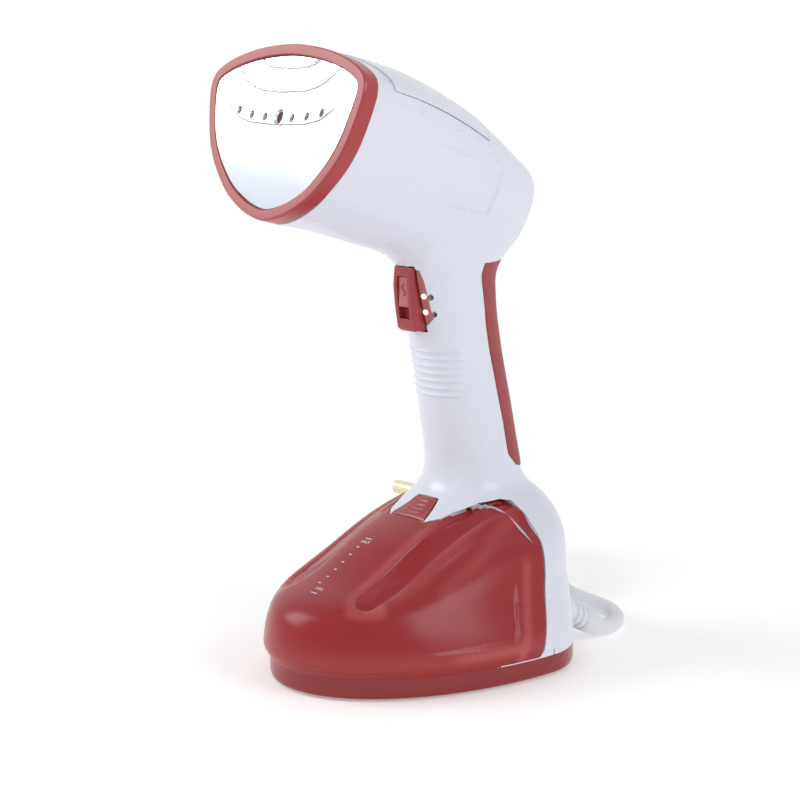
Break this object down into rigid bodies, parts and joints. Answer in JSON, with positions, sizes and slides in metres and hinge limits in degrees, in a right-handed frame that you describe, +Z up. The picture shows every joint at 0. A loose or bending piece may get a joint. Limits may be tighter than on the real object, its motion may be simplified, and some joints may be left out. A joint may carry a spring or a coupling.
{
  "type": "garment steamer",
  "caption": "Handheld garment steamer with a leaning steam plate on a slim grip and a sliding water tank in its broad base, trigger, lock slider, release button, lead and plug.",
  "frame": {"origin": "bottom centre of the steamer's box, without its lead: the middle of its footprint on the surface it stands on", "axes": "+Z up, -Y the way the steam plate faces, +X to its left as it faces"},
  "size_m": [0.1354, 0.1623, 0.1798],
  "materials": {
    "base_cover": "glossy dark red moulding",
    "rubber_feet": "soft black pads",
    "cover_screws": "zinc plated",
    "base_tray": "glossy white",
    "front_housing": "glossy white",
    "rear_cover": "glossy white",
    "head_top_cover": "glossy white",
    "grip_inlay": "satin dark red",
    "housing_screws": "zinc plated",
    "bezel": "glossy red",
    "faceplate": "mirror polished steel",
    "chamber_gasket": "silicone",
    "chamber_lid": "rolled sheet",
    "steam_chamber": "die cast",
    "heating_element": "sheathed tube",
    "heat_shield": "heat resistant moulding",
    "thermostat": "black",
    "thermal_fuse": "ceramic sleeve",
    "inlet_nozzle": "turned",
    "pump_barrel": "moulded",
    "pump_coil": "wound coil in a frame",
    "pump_plunger": "ground",
    "suction_hose": "silicone",
    "delivery_hose": "silicone",
    "tank_coupling": "moulded",
    "coupling_seal": "soft ring",
    "control_board": "board",
    "board_parts": "parts of the board",
    "switch_carrier": "moulded",
    "microswitch": "black",
    "switch_plunger": "moulded",
    "indicator_lens": "tinted",
    "indicator_lights": "white diffuser",
    "trigger": "glossy red",
    "trigger_pin": "ground",
    "trigger_spring": "wire",
    "lock_slider": "pale red",
    "release_button": "glossy red",
    "button_spring": "wire",
    "water_tank": "glossy dark red, faintly see-through",
    "valve_body": "moulded",
    "valve_poppet": "moulded",
    "valve_spring": "wire",
    "filler_stopper": "soft",
    "wiring": "sleeved wires",
    "lead_clamp": "moulded",
    "clamp_screws": "zinc plated",
    "strain_relief": "soft white sleeve",
    "power_cord": "white sheath",
    "cord_coil": "white sheath",
    "cord_tail": "white sheath",
    "cord_tie": "black strap",
    "plug_body": "white",
    "plug_pins": "plated"
  },
  "bodies": {
    "base": {"base_cover": "base_cover", "rubber_feet": "rubber_feet", "cover_screws": "cover_screws", "base_tray": "base_tray", "front_housing": "front_housing", "rear_cover": "rear_cover", "head_top_cover": "head_top_cover", "grip_inlay": "grip_inlay", "housing_screws": "housing_screws", "bezel": "bezel", "faceplate": "faceplate", "chamber_gasket": "chamber_gasket", "chamber_lid": "chamber_lid", "steam_chamber": "steam_chamber", "heating_element": "heating_element", "heat_shield": "heat_shield", "thermostat": "thermostat", "thermal_fuse": "thermal_fuse", "inlet_nozzle": "inlet_nozzle", "pump_barrel": "pump_barrel", "pump_coil": "pump_coil", "suction_hose": "suction_hose", "delivery_hose": "delivery_hose", "tank_coupling": "tank_coupling", "coupling_seal": "coupling_seal", "control_board": "control_board", "board_parts": "board_parts", "switch_carrier": "switch_carrier", "microswitch": "microswitch", "indicator_lens": "indicator_lens", "indicator_lights": "indicator_lights", "trigger_pin": "trigger_pin", "trigger_spring": "trigger_spring", "button_spring": "button_spring", "wiring": "wiring", "lead_clamp": "lead_clamp", "clamp_screws": "clamp_screws", "strain_relief": "strain_relief", "power_cord": "power_cord", "cord_coil": "cord_coil", "cord_tail": "cord_tail", "cord_tie": "cord_tie", "plug_body": "plug_body", "plug_pins": "plug_pins"},
    "tank": {"water_tank": "water_tank", "valve_body": "valve_body", "valve_spring": "valve_spring"},
    "valve_poppet": {"valve_poppet": "valve_poppet"},
    "filler_stopper": {"filler_stopper": "filler_stopper"},
    "trigger": {"trigger": "trigger"},
    "lock_slider": {"lock_slider": "lock_slider"},
    "switch_plunger": {"switch_plunger": "switch_plunger"},
    "release_button": {"release_button": "release_button"},
    "pump_plunger": {"pump_plunger": "pump_plunger"}
  },
  "joints": [
    {"name": "tank_slide", "type": "slide", "parent": "base", "child": "tank", "axis": [0, -1, 0], "range_m": [0, 0.075]},
    {"name": "filler_stopper_lift", "type": "slide", "parent": "tank", "child": "filler_stopper", "axis": [0, 0, 1], "range_m": [0, 0.0032]},
    {"name": "valve_poppet_slide", "type": "slide", "parent": "tank", "child": "valve_poppet", "axis": [0, -1, 0], "range_m": [0, 0.0012], "stiffness_N_per_m": 300, "springref_m": -0.001, "deforming": ["valve_spring"]},
    {"name": "trigger_hinge", "type": "hinge", "parent": "base", "child": "trigger", "pos_m": [0, 0.0046, 0.1146], "axis": [1, 0, 0], "range_deg": [0, 7], "stiffness_Nm_per_rad": 0.06, "springref_deg": -5.73, "deforming": ["trigger_spring"]},
    {"name": "lock_slider_slide", "type": "slide", "parent": "trigger", "child": "lock_slider", "axis": [0, 0, -1], "range_m": [0, 0.0032]},
    {"name": "switch_plunger_slide", "type": "slide", "parent": "base", "child": "switch_plunger", "axis": [0, 1, 0], "range_m": [0, 0.0016]},
    {"name": "release_button_press", "type": "slide", "parent": "base", "child": "release_button", "axis": [0, 0.4802, -0.8771], "range_m": [0, 0.0018], "stiffness_N_per_m": 400, "springref_m": -0.001, "deforming": ["button_spring"]},
    {"name": "pump_plunger_slide", "type": "slide", "parent": "base", "child": "pump_plunger", "axis": [1, 0, 0], "range_m": [-0.003, 0.003], "stiffness_N_per_m": 200}
  ],
  "couplings": [
    {"joint": "switch_plunger_slide", "follows": "trigger_hinge", "m_per_rad": 0.0121}
  ]
}
